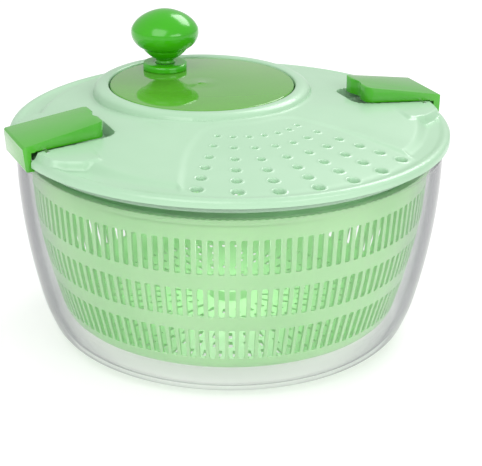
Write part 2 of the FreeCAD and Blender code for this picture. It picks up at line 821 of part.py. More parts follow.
# ---- drive shaft and plate ----------------------------------------------
shaft = new_body("drive_shaft")
lathe(shaft, [
    (0, up(-5.6)),
    (1.6, up(-6.2)),
    (1.6, up(plate_z)),
    (shaft_r, up(plate_z)),
    (shaft_r, up(13.0)),
    (shaft_r - 0.5, up(13.5)),
    (0, up(13.5)),
])
keep(shaft, "drive_shaft")
plate = new_body("plate_disc")
zp = up(plate_z)
lathe(plate, [
    (shaft_r, zp),
    (plate_r - 0.4, zp),
    (plate_r, zp + 0.4),
    (plate_r, zp + plate_wall),
    (103.0, zp + plate_wall),
    (102.6, zp + 5.0),
    (100.6, zp + 5.0),
    (100.4, zp + plate_wall),
    (12.0, zp + plate_wall),
    (10.0, zp + 4.4),
    (9.4, zp + 10.0),
    (shaft_r, zp + 10.0),
])
windows = []
for k in range(6):
    b = new_body("window%d" % k)
    lathe(b, [(24.0, zp - 1), (94.0, zp - 1), (94.0, zp + 4), (24.0, zp + 4)], angle=46.0)
    b.Placement = Placement(Vector(0, 0, 0), Rotation(Vector(0, 0, 1), 30.0 + 60.0 * k))
    windows.append(b)
notches = doc.addObject("Part::Feature", "plate_notches")
notches.Shape = Part.makeCompound(slots(104.2, 112.0, 3.2, zp.v - 1, zp.v + 8, 12))
keep(cut("drive_plate", cut("plate_open", plate, fuse("plate_windows", windows)), notches), "drive_plate")
ps = new_body("plate_screw")
lathe(ps, [
    (0, zp - 1.0), (1.6, zp - 1.0), (1.9, zp - 2.2), (3.6, zp - 1.9), (4.8, zp - 0.8),
    (4.8, zp), (1.6, zp), (1.6, zp + 7.0), (0, zp + 8.0),
])
keep(ps, "plate_screw")

# ---- latches ------------------------------------------------------------
SPRING_X = cell("spring_centre_x", 92.0)
for label, turn in (("latch_right", 0), ("latch_left", 180)):
    spin = Placement(Vector(0, 0, 0), Rotation(Vector(0, 0, 1), turn))
    plan = new_body(label + "_plan")
    prism(plan, [
        (latch_out - 1.0, -latch_out_w, latch_out - 0.3, -latch_out_w + 0.3),
        (latch_out, -latch_out_w + 1.0),
        (latch_out, latch_out_w - 1.0, latch_out - 0.3, latch_out_w - 0.3),
        (latch_out - 1.0, latch_out_w),
        (latch_in + 4.6, latch_in_w + 0.3, latch_in + 1.3, latch_in_w - 1.1),
        (latch_in, latch_in_w - 4.4),
        (latch_in, latch_in_w - 8.4, latch_in + 2.2, 0),
        (latch_in, -latch_in_w + 8.4),
        (latch_in, -latch_in_w + 4.4, latch_in + 1.3, -latch_in_w + 1.1),
        (latch_in + 4.6, -latch_in_w - 0.3),
    ], 26.0, "Pad", base=up(-4.0))
    side_view = new_body(label + "_side")
    prism(side_view, [
        (latch_in - 0.2, up(latch_in_z) - 1.4, latch_in + 0.3, up(latch_in_z) - 0.5),
        (latch_in + 1.3, up(latch_in_z) - 0.2),
        (latch_out - 1.6, up(latch_out_z) + 0.25, latch_out - 0.4, up(latch_out_z) - 0.3),
        (latch_out, up(latch_out_z) - 1.5),
        (latch_out - 1.0, up(-0.2), latch_out - 1.5, up(-1.5)),
        (latch_out - 2.8, up(-1.9)),
        (117.6, up(-1.9)),
        (117.6, up(8.9)),
        (108.0, up(9.3)),
        (latch_in, up(10.9)),
    ], 60.0, "Pad", plane="XZ_Plane", mid=True)
    hook = doc.addObject("Part::Common", label + "_blank")
    hook.Base, hook.Tool = plan, side_view
    rim = new_body(label + "_rim")
    lathe(rim, [
        (100.0, up(-5.0)),
        (119.7, up(-5.0)),
        (119.7, up(-0.5)),
        (121.3, up(1.4)),
        (121.3, up(8.4)),
        (100.0, up(8.4)),
    ])
    keel = new_body(label + "_keel")
    prism(keel, [
        (pivot_x - 3.2, up(pivot_z) + 1.8),
        (pivot_x - 3.2, up(pivot_z), pivot_x, up(pivot_z) - 3.2),
        (pivot_x + 3.2, up(pivot_z)),
        (pivot_x + 3.2, up(pivot_z) + 1.8),
    ], 24.0, "Pad", plane="XZ_Plane", mid=True)
    bore = doc.addObject("Part::Cylinder", label + "_bore")
    bore.setExpression("Radius", (pin_r + run_gap).t)
    bore.Height = 60.0
    bore.Placement = Placement(Vector(pivot_x.v, 30.0, up(pivot_z).v), Rotation(Vector(1, 0, 0), 90))
    seat = rod(label + "_seat", 4.4, 10.0, SPRING_X, 0, up(2.6))
    hooked = cut(label + "_hooked", hook, rim)
    whole = fuse(label + "_whole", [hooked, keel])
    latch = cut(label + "_cut", whole, fuse(label + "_holes", [bore, seat]))
    latch.Placement = spin
    keep(latch, label)

for side, sx in (("right", 1.0), ("left", -1.0)):
    pin = doc.addObject("Part::Cylinder", "latch_pin_" + side)
    pin.setExpression("Radius", pin_r.t)
    pin.setExpression("Height", (pin_half * 2).t)
    pin.Placement = Placement(Vector(sx * pivot_x.v, pin_half.v, up(pivot_z).v), Rotation(Vector(1, 0, 0), 90))
    keep(pin, "latch_pin_" + side)
    # return spring: closed-form helix wire, swept by a round section
    coil_r, wire_r, free = 3.0, 0.45, 6.9
    helix = Part.makeHelix(free / 5.0, free, coil_r)
    section = Part.Wire(Part.Circle(Vector(coil_r, 0, 0), Vector(0, 1, 0), wire_r).toShape())
    spring = Part.Wire(helix).makePipeShell([section], True, True)
    spring.translate(Vector(sx * SPRING_X.v, 0, up(5.05).v))
    f = doc.addObject("Part::Feature", "latch_spring_" + side)
    f.Shape = spring
    keep(f, "latch_spring_" + side)

# ---- check and write ----------------------------------------------------
doc.recompute()
bad = [o.Label for o in doc.Objects if "Invalid" in o.State or "Error" in o.State]
if bad:
    for o in doc.Objects:
        if o.Label in bad:
            print("failed:", o.Label, o.TypeId, o.State, o.getStatusString() if hasattr(o, "getStatusString") else "")
    raise SystemExit("objects failed to recompute: %s" % ", ".join(bad))
for obj in PARTS:
    shape = obj.Shape
    if shape.isNull() or not shape.isValid() or not shape.Solids:
        raise SystemExit("%s has no valid solid" % obj.Label)
os.makedirs("parts", exist_ok=True)
for obj in PARTS:
    shape = obj.Shape
    bb = shape.BoundBox
    print("%-20s solids %d faces %5d volume %10.1f  x %.1f..%.1f y %.1f..%.1f z %.1f..%.1f" % (
        obj.Label, len(shape.Solids), len(shape.Faces), shape.Volume,
        bb.XMin, bb.XMax, bb.YMin, bb.YMax, bb.ZMin, bb.ZMax))
    shape.exportStep("parts/%s.step" % obj.Label)
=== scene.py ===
import json
import math

import bpy
import numpy as np
from mathutils import Matrix, Vector, geometry

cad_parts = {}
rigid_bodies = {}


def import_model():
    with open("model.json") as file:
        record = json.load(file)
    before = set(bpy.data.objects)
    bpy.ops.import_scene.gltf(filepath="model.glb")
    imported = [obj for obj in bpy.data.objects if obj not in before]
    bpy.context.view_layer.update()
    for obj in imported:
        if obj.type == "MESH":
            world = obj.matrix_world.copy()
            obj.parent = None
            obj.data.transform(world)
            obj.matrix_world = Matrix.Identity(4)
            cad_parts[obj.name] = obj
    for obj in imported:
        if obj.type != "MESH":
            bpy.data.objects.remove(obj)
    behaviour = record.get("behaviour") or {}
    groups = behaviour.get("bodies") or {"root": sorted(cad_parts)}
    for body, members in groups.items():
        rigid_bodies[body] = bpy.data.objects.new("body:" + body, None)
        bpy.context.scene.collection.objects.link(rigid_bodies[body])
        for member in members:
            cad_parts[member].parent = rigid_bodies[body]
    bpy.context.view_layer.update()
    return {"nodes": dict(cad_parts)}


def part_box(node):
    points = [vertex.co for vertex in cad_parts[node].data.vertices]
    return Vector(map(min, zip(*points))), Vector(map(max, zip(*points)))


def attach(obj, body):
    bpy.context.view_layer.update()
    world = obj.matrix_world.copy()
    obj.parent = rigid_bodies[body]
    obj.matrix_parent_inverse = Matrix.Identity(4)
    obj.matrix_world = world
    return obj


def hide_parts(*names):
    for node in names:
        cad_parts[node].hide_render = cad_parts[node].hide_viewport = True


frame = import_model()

nodes = frame["nodes"]
MM = 0.001


# ---- places taken from the CAD frame, in millimetres --------------------
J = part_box("bowl")[1].z / MM - 2.3                      # joint plane of bowl and lid
ring_lo, ring_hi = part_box("ring_gear")
WELL_X = 0.0
WELL_Y = (ring_lo.y + ring_hi.y) / 2 / MM
cap_lo, cap_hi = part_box("knob_cap")
KNOB_X = (cap_lo.x + cap_hi.x) / 2 / MM
KNOB_Y = (cap_lo.y + cap_hi.y) / 2 / MM
DISC_TOP = 16.3


# ---- mesh helpers -------------------------------------------------------
def arc_points(a, m, b, n=8):
    """Points from a towards b (b left out) on the circle through a, m, b."""
    a, m, b = (np.array(p, float) for p in (a, m, b))
    d = 2 * (a[0] * (m[1] - b[1]) + m[0] * (b[1] - a[1]) + b[0] * (a[1] - m[1]))
    if abs(d) < 1e-9:
        return [tuple(a)]
    aa, mm_, bb = (a ** 2).sum(), (m ** 2).sum(), (b ** 2).sum()
    c = np.array([(aa * (m[1] - b[1]) + mm_ * (b[1] - a[1]) + bb * (a[1] - m[1])) / d,
                  (aa * (b[0] - m[0]) + mm_ * (a[0] - b[0]) + bb * (m[0] - a[0])) / d])
    r = np.linalg.norm(a - c)
    ta, tm, tb = (math.atan2(p[1] - c[1], p[0] - c[0]) for p in (a, m, b))
    sweep = (tb - ta) % (2 * math.pi)
    mid = (tm - ta) % (2 * math.pi)
    if mid > sweep:
        sweep -= 2 * math.pi
    return [tuple(c + r * np.array([math.cos(ta + sweep * i / n), math.sin(ta + sweep * i / n)])) for i in range(n)]


def expand(pts, n=8):
    """Closed profile with (r, z) corners and (r, z, mr, mz) arcs, as a list of points."""
    out = []
    for i, p in enumerate(pts):
        q = pts[(i + 1) % len(pts)]
        if len(p) == 4:
            out += arc_points(p[:2], p[2:], q[:2], n)
        else:
            out.append((float(p[0]), float(p[1])))
    return out


def soften(pts, size=0.35, steps=3, sharpest=25.0):
    """Rounds the corners of a closed profile; corners on the axis stay."""
    out = []
    m = len(pts)
    for i in range(m):
        a, p, b = (np.array(pts[(i + k) % m], float) for k in (-1, 0, 1))
        u, v = a - p, b - p
        lu, lv = np.linalg.norm(u), np.linalg.norm(v)
        if lu < 1e-6 or lv < 1e-6:
            continue
        turn = 180.0 - math.degrees(math.acos(max(-1.0, min(1.0, float(u @ v) / lu / lv))))
        if p[0] < 1e-6 or turn < sharpest:
            out.append(tuple(p))
            continue
        t = min(size, lu * 0.42, lv * 0.42)
        s, e = p + u / lu * t, p + v / lv * t
        for k in range(steps + 1):
            w = k / steps
            out.append(tuple(s * (1 - w) ** 2 + p * 2 * w * (1 - w) + e * w ** 2))
    return out


def spline(pts, n=6):
    """Smooth curve through points (r, z), the ends kept."""
    p = np.array(pts, float)
    p = np.vstack([2 * p[0] - p[1], p, 2 * p[-1] - p[-2]])
    out = []
    for i in range(1, len(p) - 2):
        for k in range(n):
            t = k / n
            out.append(tuple(0.5 * (2 * p[i] + (p[i + 1] - p[i - 1]) * t
                                    + (2 * p[i - 1] - 5 * p[i] + 4 * p[i + 1] - p[i + 2]) * t * t
                                    + (3 * p[i] - p[i - 1] - 3 * p[i + 1] + p[i + 2]) * t ** 3)))
    out.append(tuple(p[-2]))
    return out


def lathe(profile, n=180, cx=0.0, cy=0.0, z0=0.0):
    """Closed mesh turned about a vertical axis from a closed profile."""
    verts, rings, faces = [], [], []
    ang = np.linspace(0, 2 * np.pi, n, endpoint=False)
    for r, z in profile:
        if r < 1e-6:
            rings.append([len(verts)])
            verts.append((cx, cy, z + z0))
        else:
            rings.append(list(range(len(verts), len(verts) + n)))
            verts += [(cx + r * math.cos(a), cy + r * math.sin(a), z + z0) for a in ang]
    m = len(profile)
    for i in range(m):
        a, b = rings[i], rings[(i + 1) % m]
        if len(a) == 1 and len(b) == 1:
            continue
        for k in range(n):
            l = (k + 1) % n
            if len(a) == 1:
                faces.append((a[0], b[l], b[k]))
            elif len(b) == 1:
                faces.append((a[k], a[l], b[0]))
            else:
                faces.append((a[k], a[l], b[l], b[k]))
    return verts, faces


def piece(name, verts, faces, body, slot, material, replaces=(), sharp=38.0):
    v = np.asarray(verts, float) * MM
    vol = 0.0
    for f in faces:
        a = v[f[0]]
        for i in range(1, len(f) - 1):
            b, c = v[f[i]], v[f[i + 1]]
            vol += (a[0] * (b[1] * c[2] - b[2] * c[1]) + a[1] * (b[2] * c[0] - b[0] * c[2]) + a[2] * (b[0] * c[1] - b[1] * c[0]))
    if vol < 0:
        faces = [tuple(reversed(f)) for f in faces]
    me = bpy.data.meshes.new(name)
    me.from_pydata(v.tolist(), [], faces)
    me.update()
    for p in me.polygons:
        p.use_smooth = True
    me.set_sharp_from_angle(angle=math.radians(sharp))
    me.materials.append(material)
    ob = bpy.data.objects.new(name, me)
    bpy.context.scene.collection.objects.link(ob)
    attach(ob, body)
    if replaces:
        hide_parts(*replaces)
    return ob


# ---- materials ----------------------------------------------------------
def srgb(r, g, b):
    def one(c):
        c /= 255.0
        return c / 12.92 if c <= 0.04045 else ((c + 0.055) / 1.055) ** 2.4
    return (one(r), one(g), one(b), 1.0)


def moulded(name, dark, light, rough=(0.2, 0.32), grain=0.00001, patch=14.0, coat=0.0, ior=1.49,
            transmission=0.0, sss=0.0, metallic=0.0, fine=2600.0):
    """Moulded plastic: cloudy tone, uneven gloss and a fine skin from the tool."""
    m = bpy.data.materials.new(name)
    m.use_nodes = True
    nt = m.node_tree
    p = nt.nodes["Principled BSDF"]
    tc = nt.nodes.new("ShaderNodeTexCoord")
    cloud = nt.nodes.new("ShaderNodeTexNoise")
    cloud.inputs["Scale"].default_value = patch
    cloud.inputs["Detail"].default_value = 3.0
    ramp = nt.nodes.new("ShaderNodeValToRGB")
    ramp.color_ramp.elements[0].position = 0.3
    ramp.color_ramp.elements[1].position = 0.7
    ramp.color_ramp.elements[0].color = dark
    ramp.color_ramp.elements[1].color = light
    gloss = nt.nodes.new("ShaderNodeTexNoise")
    gloss.inputs["Scale"].default_value = 90.0
    gloss.inputs["Detail"].default_value = 4.0
    span = nt.nodes.new("ShaderNodeMapRange")
    span.inputs["To Min"].default_value = rough[0]
    span.inputs["To Max"].default_value = rough[1]
    skin = nt.nodes.new("ShaderNodeTexNoise")
    skin.inputs["Scale"].default_value = fine
    skin.inputs["Detail"].default_value = 2.0
    bump = nt.nodes.new("ShaderNodeBump")
    bump.inputs["Strength"].default_value = 0.35
    bump.inputs["Distance"].default_value = grain
    for t in (cloud, gloss, skin):
        nt.links.new(tc.outputs["Object"], t.inputs["Vector"])
    nt.links.new(cloud.outputs["Fac"], ramp.inputs["Fac"])
    nt.links.new(ramp.outputs["Color"], p.inputs["Base Color"])
    nt.links.new(gloss.outputs["Fac"], span.inputs["Value"])
    nt.links.new(span.outputs["Result"], p.inputs["Roughness"])
    nt.links.new(skin.outputs["Fac"], bump.inputs["Height"])
    nt.links.new(bump.outputs["Normal"], p.inputs["Normal"])
    p.inputs["IOR"].default_value = ior
    p.inputs["Metallic"].default_value = metallic
    p.inputs["Coat Weight"].default_value = coat
    p.inputs["Coat Roughness"].default_value = 0.04
    p.inputs["Transmission Weight"].default_value = transmission
    if sss:
        p.inputs["Subsurface Weight"].default_value = sss
        p.inputs["Subsurface Radius"].default_value = (0.4, 1.0, 0.4)
        p.inputs["Subsurface Scale"].default_value = 0.004
    return m


MINT_LID = moulded("mint_lid", srgb(167, 206, 172), srgb(176, 213, 181), (0.26, 0.38), coat=0.25)
MINT_BASKET = moulded("mint_basket", srgb(164, 211, 155), srgb(178, 220, 168), (0.3, 0.42), transmission=0.0, sss=0.2)
KNOB_GREEN = moulded("knob_green", srgb(50, 164, 2), srgb(62, 180, 6), (0.16, 0.24), coat=0.3)
LATCH_GREEN = moulded("latch_green", srgb(62, 166, 20), srgb(76, 178, 32), (0.1, 0.18), coat=0.6)
DISC_GREEN = moulded("disc_green", srgb(98, 186, 50), srgb(114, 198, 64), (0.035, 0.07), coat=0.6, transmission=0.3)
RING_GREEN = moulded("ring_green", srgb(120, 185, 96), srgb(134, 196, 110), (0.25, 0.35))
MINT_INNER = moulded("mint_inner", srgb(165, 216, 165), srgb(178, 226, 176), (0.3, 0.42))
WHITE_POM = moulded("white_pom", srgb(226, 226, 220), srgb(238, 238, 232), (0.32, 0.45))
# seal ring in the joint of lid and bowl, coloured near black so that it also draws the painted shadow line of the gap
# between them
SEAL_AND_JOINT_SHADE = moulded("seal_and_joint_shade", srgb(10, 24, 14), srgb(22, 40, 24), (0.45, 0.6), grain=0.00003)
STEEL = moulded("turned_steel", srgb(176, 176, 178), srgb(200, 200, 204), (0.2, 0.34), metallic=1.0, grain=0.000006)


def clear(name):
    """Clear styrene: nearly invisible face on, glossier along its edges, and greyer there with painted shade that
    stands in for the dark refraction and reflection at the edges of clear plastic.
    """
    m = bpy.data.materials.new(name)
    m.use_nodes = True
    nt = m.node_tree
    p = nt.nodes["Principled BSDF"]
    tc = nt.nodes.new("ShaderNodeTexCoord")
    facing = nt.nodes.new("ShaderNodeLayerWeight")
    facing.inputs["Blend"].default_value = 0.5
    # alpha rises towards grazing angles, so the grey painted shade shows along the edges
    ramp = nt.nodes.new("ShaderNodeValToRGB")
    stops = ((0.0, 0.03), (0.45, 0.045), (0.53, 0.08), (0.6, 0.19), (0.69, 0.3), (0.745, 0.42), (0.8, 0.85), (1.0, 0.97))
    while len(ramp.color_ramp.elements) < len(stops):
        ramp.color_ramp.elements.new(0.5)
    for e, (at, v) in zip(ramp.color_ramp.elements, stops):
        e.position = at
        e.color = (v, v, v, 1.0)
    # grey base colour with a random cloud in it: painted shade, seen where the alpha rises at the edges
    tone = nt.nodes.new("ShaderNodeValToRGB")
    tone.color_ramp.elements[0].position = 0.3
    tone.color_ramp.elements[0].color = srgb(140, 140, 147)
    tone.color_ramp.elements[1].position = 0.7
    tone.color_ramp.elements[1].color = srgb(160, 161, 166)
    wave = nt.nodes.new("ShaderNodeTexNoise")
    wave.inputs["Scale"].default_value = 18.0
    wave.inputs["Detail"].default_value = 2.0
    span = nt.nodes.new("ShaderNodeMapRange")
    span.inputs["To Min"].default_value = 0.02
    span.inputs["To Max"].default_value = 0.07
    nt.links.new(tc.outputs["Object"], wave.inputs["Vector"])
    nt.links.new(facing.outputs["Facing"], ramp.inputs["Fac"])
    # the flat floor of the bowl stays clear, although it is seen at a low angle
    axes = nt.nodes.new("ShaderNodeSeparateXYZ")
    lift = nt.nodes.new("ShaderNodeMapRange")
    lift.inputs["From Min"].default_value = 0.0025
    lift.inputs["From Max"].default_value = 0.0065
    lift.inputs["To Min"].default_value = 0.22
    lift.inputs["To Max"].default_value = 1.0
    thick = nt.nodes.new("ShaderNodeMath")
    thick.operation = "MULTIPLY"
    # painted shade: the base colour darkens to 0.42 at grazing angles, for the dark outline of the bowl
    edge = nt.nodes.new("ShaderNodeValToRGB")
    edge.color_ramp.elements[0].position = 0.74
    edge.color_ramp.elements[0].color = (1.0, 1.0, 1.0, 1.0)
    edge.color_ramp.elements[1].position = 0.83
    edge.color_ramp.elements[1].color = (0.42, 0.42, 0.43, 1.0)
    shade = nt.nodes.new("ShaderNodeMix")
    shade.data_type = "RGBA"
    shade.blend_type = "MULTIPLY"
    shade.inputs[0].default_value = 1.0
    nt.links.new(tc.outputs["Object"], axes.inputs["Vector"])
    nt.links.new(axes.outputs["Z"], lift.inputs["Value"])
    nt.links.new(ramp.outputs["Color"], thick.inputs[0])
    nt.links.new(lift.outputs["Result"], thick.inputs[1])
    nt.links.new(thick.outputs["Value"], p.inputs["Alpha"])
    nt.links.new(wave.outputs["Fac"], tone.inputs["Fac"])
    nt.links.new(facing.outputs["Facing"], edge.inputs["Fac"])
    nt.links.new(tone.outputs["Color"], shade.inputs[6])
    nt.links.new(edge.outputs["Color"], shade.inputs[7])
    nt.links.new(shade.outputs[2], p.inputs["Base Color"])
    nt.links.new(wave.outputs["Fac"], span.inputs["Value"])
    nt.links.new(span.outputs["Result"], p.inputs["Roughness"])
    p.inputs["IOR"].default_value = 1.55
    return m


CLEAR = clear("clear_styrene")

for n, mat in {
    "rim_gasket": SEAL_AND_JOINT_SHADE, "gear_tray": MINT_INNER, "tray_screws": STEEL, "drive_bush": WHITE_POM,
    "drive_pinion": WHITE_POM, "ring_gear": RING_GREEN, "crank_axle": STEEL, "crank_washer": STEEL,
    "crank_screw": STEEL, "knob_spindle": STEEL, "drive_shaft": STEEL, "drive_plate": MINT_INNER,
    "plate_screw": STEEL, "latch_pin_right": STEEL, "latch_pin_left": STEEL,
    "latch_spring_right": STEEL, "latch_spring_left": STEEL,
}.items():
    ob = nodes[n]
    ob.data.materials.clear()
    ob.data.materials.append(mat)


# ---- bowl ---------------------------------------------------------------
W = 2.4
bowl = expand([
    (0, 0),
    (86.0, 0, 95.1, 2.53),
    (101.6, 9.4, 104.46, 16.21),
    (106.89, 23.11, 113.73, 54.05),
    (117.7, J - 30.0, 118.36, J - 17.7),
    (118.4, J - 5.4),
    (119.3, J - 5.0),
    (119.3, J - 3.6),
    (118.5, J - 3.2),
    (118.5, J - 1.3),
    (117.6, J - 1.3),
    (117.6, J + 0.9),
    (120.9, J + 1.3),
    (120.9, J + 2.0),
    (120.5, J + 2.3),
    (116.1, J + 2.3),
    (116.0, J - 5.4, 115.96, J - 17.7),
    (115.3, J - 29.8, 111.37, 54.46),
    (104.57, 23.73, 102.22, 17.07),
    (99.48, 10.53, 93.88, 4.59),
    (86.0, W),
    (7.0, W),
    (5.4, W + 6.6),
    (4.6, W + 9.2),
    (2.8, W + 10.8),
    (0, W + 11.3),
], 12)
piece("bowl_moulding", *lathe(soften(bowl, 0.35), 240), body="bowl", slot="clear_plastic", material=CLEAR, replaces=["bowl"], sharp=50)


# ---- basket -------------------------------------------------------------
FLOOR = J - 102.7
TIERS = ((J - 93.6, J - 74.9), (J - 66.7, J - 49.3), (J - 40.6, J - 20.8))
OUT = ((FLOOR + 8.6, 96.2), (J - 75.0, 101.7), (J - 57.0, 105.9), (J - 40.6, 108.9), (J - 21.0, 110.4), (J - 12.2, 111.0))


def wall_radius(z):
    zs = np.linspace(z - 5, z + 5, 21)
    k = np.exp(-((zs - z) / 3.0) ** 2)
    zo = [p[0] for p in OUT]
    ro = [p[1] for p in OUT]
    r = np.interp(zs, zo, ro)
    r = np.where(zs < zo[0], ro[0] + (zs - zo[0]) * 0.28, r)
    r = np.where(zs > zo[-1], ro[-1], r)
    return float((r * k).sum() / k.sum())


def half_slot(z):
    for lo, hi in TIERS:
        if lo - 1e-6 <= z <= hi + 1e-6:
            e = max(0.0, min(z - lo, hi - z))
            if e < 0.9:
                return 0.75 + math.sqrt(max(0.0, 0.81 - (0.9 - e) ** 2))
            return 1.65
    return None


rows = []                                               # (r_out, z_out, r_in, z_in, half angle, in tier)
for k in range(6):                                      # rounded corner between floor and wall
    t = k / 6
    a = arc_points((84.5, FLOOR), (92.3, FLOOR + 2.2), (96.2, FLOOR + 8.6), 6)[k]
    b = arc_points((84.0, FLOOR + 1.8), (91.1, FLOOR + 3.7), (94.5, FLOOR + 8.9), 6)[k]
    rows.append((a[0], a[1], b[0], b[1], 0.9, False))
zs = []
for lo, hi in TIERS:
    ends = [0, 0.25, 0.6, 1.0, 2.5]
    body_rows = list(np.linspace(lo + 2.5, hi - 2.5, 4)[1:-1])
    zs += [(lo + e, True) for e in ends] + [(z, True) for z in body_rows] + [(hi - e, True) for e in reversed(ends)]
zs += [(z, False) for z in (FLOOR + 8.8, J - 72.2, J - 69.5, J - 46.5, J - 43.4, J - 17.0, J - 14.0, J - 12.4)]
for z, inside in sorted(zs):
    h = half_slot(z)
    r = wall_radius(z)
    ang = math.degrees(math.asin((h if h is not None else 1.65) / r))
    if z > J - 18:
        ang = 0.875 + (0.5 - 0.875) * min(1.0, (z - J + 18) / 4.0)
    rows.append((r, z, r - 1.8, z, ang, h is not None))
for r_out, z_out, r_in, z_in in ((113.0, J - 11.6, 109.15, J - 11.4), (113.2, J - 9.4, 109.5, J - 9.2)):
    rows.append((r_out, z_out, r_in, z_in, 0.5, False))

verts, faces = [], []
outer, inner = [], []
COLS = 360
centre = [-13.5 + 3 * k for k in range(120)]
for r_out, z_out, r_in, z_in, a, _ in rows:
    ang = []
    for c in centre:
        ang += [c - a, c + a, c + 1.5]
    ang = np.radians(ang)
    outer.append(len(verts))
    verts += [(r_out * math.cos(t), r_out * math.sin(t), z_out) for t in ang]
    inner.append(len(verts))
    verts += [(r_in * math.cos(t), r_in * math.sin(t), z_in) for t in ang]


def is_hole(i, c):
    if not (0 <= i < len(rows) - 1) or c % 3 != 0:
        return False
    return rows[i][5] and rows[i + 1][5] and (rows[i + 1][1] - rows[i][1]) < 9.0 and any(
        lo - 1e-6 <= rows[i][1] and rows[i + 1][1] <= hi + 1e-6 for lo, hi in TIERS)


for i in range(len(rows) - 1):
    for c in range(COLS):
        d = (c + 1) % COLS
        o0, o1, n0, n1 = outer[i], outer[i + 1], inner[i], inner[i + 1]
        if not is_hole(i, c):
            faces.append((o0 + c, o0 + d, o1 + d, o1 + c))
            faces.append((n0 + d, n0 + c, n1 + c, n1 + d))
            continue
        # the four sides of the opening (the neighbouring ribs are never holes)
        faces.append((o0 + c, o1 + c, n1 + c, n0 + c))
        faces.append((o0 + d, n0 + d, n1 + d, o1 + d))
        if not is_hole(i - 1, c):
            faces.append((o0 + c, n0 + c, n0 + d, o0 + d))
        if not is_hole(i + 1, c):
            faces.append((o1 + c, o1 + d, n1 + d, n1 + c))
# fine castellated top of the rim
top_o, top_i = len(verts), len(verts) + COLS
ang = []
for c in centre:
    ang += [c - 0.5, c + 0.5, c + 1.5]
for k, t in enumerate(np.radians(ang)):
    verts.append((112.9 * math.cos(t), 112.9 * math.sin(t), J - (8.5 if k % 2 else 9.05)))
for k, t in enumerate(np.radians(ang)):
    verts.append((109.8 * math.cos(t), 109.8 * math.sin(t), J - (8.6 if k % 2 else 9.05)))
for c in range(COLS):
    d = (c + 1) % COLS
    faces.append((outer[-1] + c, outer[-1] + d, top_o + d, top_o + c))
    faces.append((top_o + c, top_o + d, top_i + d, top_i + c))
    faces.append((top_i + c, top_i + d, inner[-1] + d, inner[-1] + c))


BANDS = ((19.0, 25.0, 18, 0), (29.0, 35.5, 24, 1), (39.5, 46.5, 36, 0), (50.5, 57.5, 40, 1), (61.5, 68.5, 48, 0), (72.5, 79.5, 60, 1))
base = -1.0                                             # every ring starts near this angle
wall_angles = np.radians(np.array([x for c in centre for x in (c - 0.9, c + 0.9, c + 1.5)]))


class Rolled:
    """Index ring with its own order, so that rings with different starts can be joined."""

    def __init__(self, start, angles):
        order = sorted(range(len(angles)), key=lambda k: (angles[k] - base) % (2 * math.pi))
        self.ids = [start + k for k in order]
        self.t = [(angles[k] - base) % (2 * math.pi) for k in order]


def join(a, b, flip):
    na, nb = len(a.ids), len(b.ids)
    i = j = 0
    while i < na or j < nb:
        ta = a.t[i + 1] if i + 1 < na else a.t[0] + 2 * math.pi
        tb = b.t[j + 1] if j + 1 < nb else b.t[0] + 2 * math.pi
        if j >= nb or (i < na and ta <= tb):
            f = (a.ids[i % na], a.ids[(i + 1) % na], b.ids[j % nb])
            i += 1
        else:
            f = (a.ids[i % na], b.ids[(j + 1) % nb], b.ids[j % nb])
            j += 1
        faces.append(tuple(reversed(f)) if flip else f)


def pair(r, angles, z_low, z_top):
    lo = len(verts)
    verts.extend((r * math.cos(t), r * math.sin(t), z_low) for t in angles)
    hi = len(verts)
    verts.extend((r * math.cos(t), r * math.sin(t), z_top) for t in angles)
    return lo, hi


prev = (Rolled(outer[0], wall_angles), Rolled(inner[0], wall_angles))
for ra, rb, n, odd in reversed(BANDS):
    ends = []
    steps = (rb, rb - 0.6, (ra + rb) / 2, ra + 0.6, ra)
    for r in steps:
        h = 1.1 if ra + 0.3 < r < rb - 0.3 else 0.7
        a = math.asin(h / r)
        ts = []
        for k in range(n):
            c = (k + 0.5 * odd) * 2 * math.pi / n
            ts += [c - a, c + a, c + math.pi / n]
        ends.append((pair(r, ts, FLOOR, FLOOR + 1.8), ts))
    m = 3 * n
    first = ends[0]
    now = (Rolled(first[0][0], first[1]), Rolled(first[0][1], first[1]))
    join(prev[0], now[0], False)
    join(prev[1], now[1], True)
    for q in range(len(ends) - 1):
        (l0, h0), _ = ends[q]
        (l1, h1), _ = ends[q + 1]
        for c in range(m):
            d = (c + 1) % m
            if c % 3 == 0:
                faces.append((l0 + c, h0 + c, h1 + c, l1 + c))
                faces.append((l0 + d, l1 + d, h1 + d, h0 + d))
                if q == 0:
                    faces.append((l0 + c, l0 + d, h0 + d, h0 + c))
                if q == len(ends) - 2:
                    faces.append((l1 + c, h1 + c, h1 + d, l1 + d))
            else:
                faces.append((l0 + c, l0 + d, l1 + d, l1 + c))
                faces.append((h0 + d, h0 + c, h1 + c, h1 + d))
    last = ends[-1]
    prev = (Rolled(last[0][0], last[1]), Rolled(last[0][1], last[1]))
cup_t = np.linspace(0, 2 * math.pi, 72, endpoint=False)
cup = ((9.0, 1.2, 11.4, 3.2), (8.2, 3.4, 10.3, 5.6), (7.2, 5.6, 9.2, 7.9), (5.0, 7.2, 6.5, 9.5), (0.8, 7.5, 0.8, 9.9))
for ro, zo, ri, zi in cup:
    lo = len(verts)
    verts.extend((ro * math.cos(t), ro * math.sin(t), FLOOR + zo) for t in cup_t)
    hi = len(verts)
    verts.extend((ri * math.cos(t), ri * math.sin(t), FLOOR + zi) for t in cup_t)
    now = (Rolled(lo, cup_t), Rolled(hi, cup_t))
    join(prev[0], now[0], False)
    join(prev[1], now[1], True)
    prev = now
faces.append(tuple(prev[0].ids))
faces.append(tuple(reversed(prev[1].ids)))
